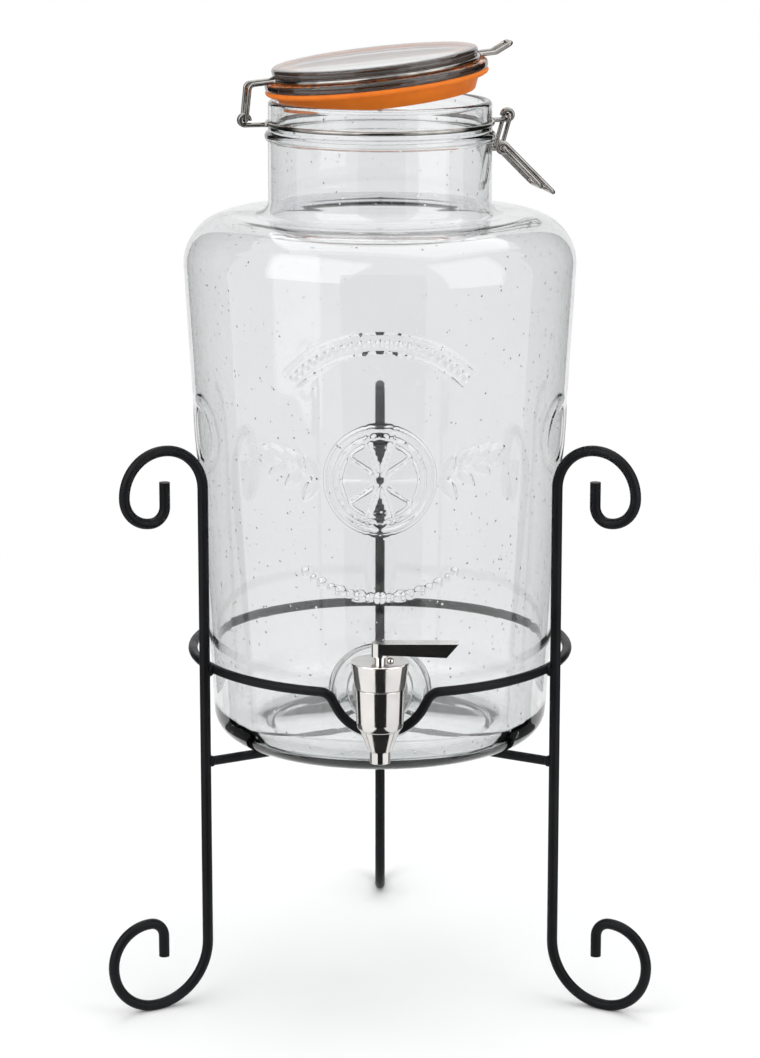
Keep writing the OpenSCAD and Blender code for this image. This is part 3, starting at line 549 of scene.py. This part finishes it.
def seatRings(ways, outCorners, inCorners):
    # rings from the window's edge outside, over the boss and through the hole, to its edge inside
    seat, wall = jarShape["seat"], jarShape["wall"]
    boss, hole, pad = seat["bossRadius"], seat["holeRadius"], seat["padRadius"]
    flat, cut, step = boss - seat["rimWidth"], seat["chamfer"], seat["step"]
    bossY = -(wallRadius(tapHeight) + seat["bossProud"])
    seatY = bossY + seat["recess"]
    padY = -(wallRadius(tapHeight, wall) - seat["padProud"])

    def between(corners, share, radius, inset):
        # part of the way from the window's edge to the circle round the seat
        goals = wallRing(ways, radius + seat["skirt"], inset)
        spots = [corner.lerp(goal, share) for corner, goal in zip(corners, goals)]
        return [onWall(spot.x, spot.z, inset) for spot in spots]

    def foot(radius, inset, lift, top):
        # on the wall's fillet, part of the way up to the seat's flat
        pairs = zip(wallRing(ways, radius, inset), planeRing(ways, radius, top))
        return [low * (1 - lift) + high * lift for low, high in pairs]

    levels = [(boss - back * mm, bossY + drop * mm) for back, drop in seat["bossEdge"]]
    levels += [(flat + step, bossY), (flat, bossY + seat["stepRound"]), (flat - step, seatY)]
    levels += [(hole + cut, seatY), (hole, seatY + cut), (hole, padY - cut), (hole + cut, padY)]
    levels += [(pad - back * mm, padY - drop * mm) for back, drop in seat["padEdge"]]
    rings = [between(outCorners, 0.5, boss, 0), between(outCorners, 1, boss, 0)]
    rings += [foot(boss + out * mm, 0, lift, bossY) for out, lift in seat["bossFoot"]]
    rings += [planeRing(ways, radius, y) for radius, y in levels]
    rings += [foot(pad + out * mm, wall, lift, padY) for out, lift in seat["padFoot"]]
    return rings + [between(inCorners, 1, pad, wall), between(inCorners, 0.5, pad, wall)]


def makeJar():
    profile, rows = jarOutline()
    turns = jarTurns()
    columns, wallPart = len(turns), slice(rows["wall"], rows["wallEnd"])
    radii = np.repeat(profile[:, :1], columns, axis=1)
    levels = np.repeat(profile[:, 1:], columns, axis=1)
    around = np.repeat(turns[None, :], rows["wallEnd"] - rows["wall"], axis=0)
    radii[wallPart] += jarRelief(around, levels[wallPart])
    grid = np.stack([radii * np.sin(turns), -radii * np.cos(turns), levels], axis=-1)
    points = [Vector(p) for p in grid.reshape(-1, 3)]

    def number(row, column):
        return row * columns + column % columns

    # the window in the wall that the tap's seat fills
    halfTurn = math.asin(jarShape["seat"]["window"] / wallRadius(tapHeight))
    inside = [column for column in range(columns) if abs(turns[column]) < halfTurn]
    left, right = inside[0], inside[-1]
    outLow, outHigh = rows["wall"], rows["wall"] + rows["window"] - 1
    inHigh, inLow = rows["inWindow"], rows["inWindow"] + rows["window"] - 1
    faces = []
    for row in range(len(profile) - 1):
        cut = outLow <= row < outHigh or inHigh <= row < inLow
        faces += [(number(row, c), number(row, c + 1), number(row + 1, c + 1), number(row + 1, c))
                  for c in range(columns) if not (cut and left <= c < right)]
    for row in (0, len(profile) - 1):
        points.append(Vector((0, 0, profile[row][1])))
        faces += [(number(row, c), number(row, c + 1), len(points) - 1) for c in range(columns)]

    def windowEdge(low, high):
        # corners of the window's edge in order, from the lower left
        way = 1 if high > low else -1
        edge = [number(low, c) for c in range(left, right)]
        edge += [number(row, right) for row in range(low, high, way)]
        edge += [number(high, c) for c in range(right, left, -1)]
        return edge + [number(row, left) for row in range(high, low, -way)]

    outEdge, inEdge = windowEdge(outLow, outHigh), windowEdge(inLow, inHigh)
    ways = [math.atan2(points[i].z - tapHeight, points[i].x) for i in outEdge]
    loops = [outEdge]
    for ring in seatRings(ways, [points[i] for i in outEdge], [points[i] for i in inEdge]):
        loops.append(range(len(points), len(points) + len(ring)))
        points += ring
    loops.append(inEdge)
    count = len(outEdge)
    for first, second in zip(loops, loops[1:]):
        for i in range(count):
            after = (i + 1) % count
            faces.append((first[i], first[after], second[after], second[i]))
    return newPiece("jar", points, faces, jarGlass, "jar", "glass_jar", sharp=60)


jar = makeJar()
print("jar made:", len(jar.data.vertices), "points")


# lid and seal, drawn shut and swung open as the hinge holds them

lidShape = {
    "plugHeight": 4.2 * mm, "plugRadius": 51.1 * mm, "plugRound": 1 * mm, "rootRound": 0.5 * mm,
    "flangeHeight": 4.5 * mm, "flangeRadius": 58.5 * mm, "edge": 1.6 * mm, "gap": 0.3 * mm,
    "grooveRadius": 52.5 * mm, "grooveHeight": 2.5 * mm, "grooveRound": 0.6 * mm,
    "discHeight": 4.4 * mm, "discRadius": 54 * mm, "flatMargin": 6 * mm, "flatDrop": 0.1 * mm,
    "dish": 1.2 * mm, "dishMargin": 8 * mm, "dishRows": 8, "pole": 0.3 * mm, "roundSteps": 6, "sides": 192,
}
sealShape = {
    "height": 2.8 * mm, "outside": 58.5 * mm, "edge": 1.2 * mm, "lip": 1.6 * mm,
    "lipCurve": ((0.7, 0.5), (0.25, 1)),  # millimetres in and up
    "skirt": 7.4 * mm, "skirtRadius": 53.4 * mm, "skirtThick": 2.2 * mm, "taper": 2.6 * mm,
    "tipRise": 0.5 * mm, "tipIn": 0.3 * mm, "tipOut": 0.4 * mm, "rootIn": 0.1 * mm, "rootRound": 0.3 * mm,
    "roundSteps": 6, "sides": 160,
}
hinge = joints["lid_hinge"]
hingePoint = Matrix.Translation(Vector(hinge["pos_m"]))
ajar = Matrix.Rotation(math.radians(-hinge["range_deg"][0]), 4, Vector(hinge["axis"]))
lidSwing = hingePoint @ ajar @ hingePoint.inverted()
sealZ = rimZ + lidShape["gap"]
flangeZ = sealZ + sealShape["height"]


def makeLid():
    shape = lidShape
    plugSide, flange = shape["plugRadius"], shape["flangeRadius"]
    disc, groove = shape["discRadius"], shape["grooveRadius"]
    edge, dish, margin, pole = shape["edge"], shape["dish"], shape["dishMargin"], shape["pole"]
    bend, root, ease, drop = shape["plugRound"], shape["rootRound"], shape["grooveRound"], shape["flatDrop"]
    low = flangeZ - shape["plugHeight"]
    flangeTop = flangeZ + shape["flangeHeight"]
    discZ = flangeTop + shape["grooveHeight"]
    top = discZ + shape["discHeight"]
    shares = [i / shape["dishRows"] for i in range(1, shape["dishRows"])]
    profile = [(pole, low + dish)] + [((plugSide - margin) * t, low + dish * (1 - t * t)) for t in shares]
    profile += [(plugSide - margin, low)]
    profile += arc((plugSide - bend, low + bend), bend, -90, 0, shape["roundSteps"])
    profile += [(plugSide, flangeZ - root), (plugSide + root, flangeZ)]
    profile += arc((flange - edge, flangeZ + edge), edge, -90, 0, shape["roundSteps"])
    profile += arc((flange - edge, flangeTop - edge), edge, 0, 90, shape["roundSteps"])
    profile += [(groove + ease, flangeTop), (groove, flangeTop + ease)]
    profile += [(groove, discZ - ease), (groove + ease, discZ)]
    profile += arc((disc - edge, discZ + edge), edge, -90, 0, shape["roundSteps"])
    profile += arc((disc - edge, top - edge), edge, 0, 90, shape["roundSteps"])
    profile += [(disc - shape["flatMargin"], top), (disc - margin, top - drop)]
    profile += [((disc - margin) * t, top - drop - (dish - drop) * (1 - t * t)) for t in reversed(shares)]
    profile += [(pole, top - dish)]
    points = [lidSwing @ Vector(p) for p in lathePoints(profile, shape["sides"])]
    faces = bandFaces(len(profile), shape["sides"]) + endFaces(points, shape["sides"])
    newPiece("lid", points, faces, lidGlass, "lid", "glass_lid", sharp=50)


def makeSeal():
    shape = sealShape
    edge, taper, low = shape["edge"], shape["taper"], sealZ - shape["skirt"]
    outside, skirt, rise = shape["outside"], shape["skirtRadius"], shape["tipRise"]
    inside = skirt - shape["skirtThick"]
    plugLow = flangeZ - lidShape["plugHeight"] - lidShape["gap"]
    profile = [(inside, flangeZ), (inside, plugLow), (inside - taper, low + rise)]
    profile += [(inside - taper + shape["tipIn"], low), (skirt - taper - shape["tipOut"], low)]
    profile += [(skirt - taper, low + rise), (skirt - shape["rootIn"], sealZ - shape["rootRound"])]
    profile += [(skirt + shape["rootRound"], sealZ), (outside - shape["lip"], sealZ)]
    profile += [(outside - back * mm, sealZ + up * mm) for back, up in shape["lipCurve"]]
    profile += arc((outside - edge, flangeZ - edge), edge, 0, 90, shape["roundSteps"])
    points = [lidSwing @ Vector(p) for p in lathePoints(profile, shape["sides"])]
    faces = bandFaces(len(profile), shape["sides"], closed=True)
    newPiece("seal", points, faces, orangeSeal, "lid", "lid_gasket")


makeLid()
makeSeal()
print("lid and seal made")


# welds where the stand's rods meet, under the same coat

weldShape = {
    "legs": {"left": 210, "right": 330, "back": 90}, "legRadius": 106.04 * mm, "legThick": 5.6 * mm,
    "hoopThick": 5 * mm, "sink": 0.6 * mm, "hoopBead": (2.3 * mm, 3.4 * mm, 3.7 * mm),
    "spokeBead": (1.9 * mm, 3.2 * mm, 3.0 * mm), "hubBead": (4.2 * mm, 4.2 * mm, 2.6 * mm),
    "ripple": 0.05, "lobes": 5, "waves": 3, "rings": 14, "sides": 28,
}
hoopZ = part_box("hoop_ring")[1].z - weldShape["hoopThick"] / 2
spokeLow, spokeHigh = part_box("spoke_back")
spokeZ = (spokeLow.z + spokeHigh.z) / 2


def makeBead(name, turn, radius, height, size):
    # a lumpy ellipsoid: size runs outwards, along the hoop and up
    rings, sides = weldShape["rings"], weldShape["sides"]
    swing = Matrix.Rotation(math.radians(turn), 4, "Z")
    points = []
    for row in range(1, rings):
        tilt = math.pi * row / rings
        wave = math.sin(tilt) * math.sin(weldShape["waves"] * tilt + radius / mm)
        for side in range(sides):
            way = 2 * math.pi * side / sides
            lump = 1 + weldShape["ripple"] * math.sin(weldShape["lobes"] * way + turn) * wave
            unit = (math.sin(tilt) * math.cos(way), math.sin(tilt) * math.sin(way), math.cos(tilt))
            spot = Vector([reach * share for reach, share in zip(size, unit)]) * lump
            points.append(swing @ (spot + Vector((radius, 0, height))))
    faces = bandFaces(rings - 1, sides) + endFaces(points, sides)
    newPiece(name, points, faces, rodBlack, "stand")


def makeWelds():
    inner, sink = weldShape["legRadius"] - weldShape["legThick"] / 2, weldShape["sink"]
    for leg, turn in weldShape["legs"].items():
        makeBead("hoopWeld_" + leg, turn, inner, hoopZ, weldShape["hoopBead"])
        makeBead("spokeWeld_" + leg, turn, inner - sink, spokeZ, weldShape["spokeBead"])
    makeBead("hubWeld", 0, 0, spokeZ - sink, weldShape["hubBead"])


makeWelds()
print("welds made")


# spring inside the tap, a fixed coil of wire

springShape = {"turns": 3, "wire": 0.8 * mm, "sides": 10, "steps": 30}


def makeSpring():
    low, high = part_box("stem_spring")
    thin, sides = springShape["wire"] / 2, springShape["sides"]
    radius, centerY = (high.x - low.x) / 2 - thin, (low.y + high.y) / 2
    count = springShape["turns"] * springShape["steps"]
    points = []
    for i in range(count + 1):
        turn = 2 * math.pi * i / springShape["steps"]
        level = low.z + thin + (high.z - low.z - 2 * thin) * i / count
        for far, up in arc((radius, level), thin, 0, 360, sides)[:-1]:
            points.append((far * math.cos(turn), centerY + far * math.sin(turn), up))
    faces = bandFaces(count + 1, sides) + endFaces(points, sides)
    piece = newPiece("spring", points, faces, tapSteel, "jar", "stem_spring")
    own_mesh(piece)


makeSpring()
print("spring made")


# stage, light and camera

stageLook = {
    "floorSize": 24, "floorColor": (0.93, 0.93, 0.93, 1), "rough": 0.9, "whiteFrom": 0.45, "whiteTo": 1.1,
    "ambient": 0.55,
}


def whiteRays(tree):
    # 1 for the rays that show the background: seen, mirrored or through glass
    path = addNode(tree, "LightPath").outputs
    both = combine(tree, "MAXIMUM", path["Is Camera Ray"], path["Is Glossy Ray"])
    return combine(tree, "MAXIMUM", both, path["Is Transmission Ray"])


def mattSheet(name, color):
    material, tree, skin = newMaterial(name)
    skin.inputs["Base Color"].default_value = color
    skin.inputs["Roughness"].default_value = stageLook["rough"]
    skin.inputs["Specular IOR Level"].default_value = 0
    return material, tree, skin


def makeFloor():
    # pale near the object, fading to white further out
    bpy.ops.mesh.primitive_plane_add(size=stageLook["floorSize"])
    floor = bpy.context.object
    floor.name = "floor"
    material, tree, skin = mattSheet("paleFloor", stageLook["floorColor"])
    away = addNode(tree, "VectorMath", {0: addNode(tree, "TexCoord").outputs["Object"]}, operation="LENGTH")
    far = remap(tree, away.outputs["Value"], 0, 1, stageLook["whiteFrom"], stageLook["whiteTo"])
    share = combine(tree, "MULTIPLY", far, whiteRays(tree))
    white = addNode(tree, "Emission", {"Color": (1, 1, 1, 1), "Strength": 1})
    mix = addNode(tree, "MixShader", {0: share, 1: skin.outputs[0], 2: white.outputs[0]})
    tree.links.new(mix.outputs[0], tree.nodes["Material Output"].inputs["Surface"])
    floor.data.materials.append(material)


def makeWorld():
    world = bpy.data.worlds.new("studio")
    world.use_nodes = True
    tree = world.node_tree
    background = tree.nodes["Background"]
    background.inputs["Color"].default_value = (1, 1, 1, 1)
    plug(tree, background.inputs["Strength"], remap(tree, whiteRays(tree), stageLook["ambient"], 1, 0, 1))
    bpy.context.scene.world = world


softboxes = {
    "keyBox": {"place": (-1.5, -1.5, 1.7), "size": (2.4, 2.4), "power": 33},
    "fillBox": {"place": (1.7, -1.1, 1.1), "size": (1.5, 2.2), "power": 15},
    "topBox": {"place": (0.2, 0.5, 2.1), "size": (2.4, 2.0), "power": 22},
}
lightAim = Vector((0, 0, 0.26))


def makeLights():
    for name, box in softboxes.items():
        lamp = bpy.data.lights.new(name, "AREA")
        lamp.shape = "RECTANGLE"
        lamp.size, lamp.size_y = box["size"]
        lamp.energy = box["power"]
        light = bpy.data.objects.new(name, lamp)
        light.location = box["place"]
        light.rotation_euler = (lightAim - light.location).to_track_quat("-Z", "Y").to_euler()
        bpy.context.scene.collection.objects.link(light)


# dark cards that are only mirrored: in front, on the table and to the sides
cards = {
    "frontCard": {"place": (0.02, -0.5, 0.3), "size": (0.42, 0.6), "tip": 90, "turn": 0, "grey": 0.022},
    "tableCard": {"place": (0.01, -0.32, 0.003), "size": (0.24, 0.36), "tip": 0, "turn": 0, "grey": 0.022},
    "nearLeftCard": {"place": (-0.42, 0.11, 0.3), "size": (0.24, 0.6), "tip": 90, "turn": 90, "grey": 0.022},
    "nearRightCard": {"place": (0.42, 0.11, 0.3), "size": (0.24, 0.6), "tip": 90, "turn": 90, "grey": 0.022},
    "leftTableCard": {"place": (-0.33, 0.1, 0.003), "size": (0.26, 0.3), "tip": 0, "turn": 0, "grey": 0.12},
    "rightTableCard": {"place": (0.33, 0.1, 0.003), "size": (0.26, 0.3), "tip": 0, "turn": 0, "grey": 0.12},
    "leftCard": {"place": (-0.52, 0.3, 0.5), "size": (0.5, 1.0), "tip": 90, "turn": 40, "grey": 0.022},
    "rightCard": {"place": (0.52, 0.3, 0.5), "size": (0.5, 1.0), "tip": 90, "turn": -40, "grey": 0.022},
}


def makeCards():
    for name, card in cards.items():
        bpy.ops.mesh.primitive_plane_add(size=1, location=card["place"])
        sheet = bpy.context.object
        sheet.name = name
        sheet.scale = (*card["size"], 1)
        sheet.rotation_euler = (math.radians(card["tip"]), 0, math.radians(card["turn"]))
        sheet.data.materials.append(mattSheet(name, (card["grey"], card["grey"], card["grey"], 1))[0])
        sheet.visible_camera = sheet.visible_diffuse = False
        sheet.visible_transmission = sheet.visible_shadow = False


cameraSetup = {"distance": 1.821, "elevation": 12.6, "aimHeight": 0.246, "lens": 115.75}


def makeCamera():
    data = bpy.data.cameras.new("camera")
    data.lens = cameraSetup["lens"]
    camera = bpy.data.objects.new("camera", data)
    tilt = math.radians(cameraSetup["elevation"])
    target = Vector((0, 0, cameraSetup["aimHeight"]))
    camera.location = target + cameraSetup["distance"] * Vector((0, -math.cos(tilt), math.sin(tilt)))
    camera.rotation_euler = (target - camera.location).to_track_quat("-Z", "Y").to_euler()
    bpy.context.scene.collection.objects.link(camera)
    bpy.context.scene.camera = camera


makeFloor()
makeWorld()
makeLights()
makeCards()
makeCamera()
bpy.context.scene.view_settings.view_transform = "Standard"
print("stage, light and camera ready")
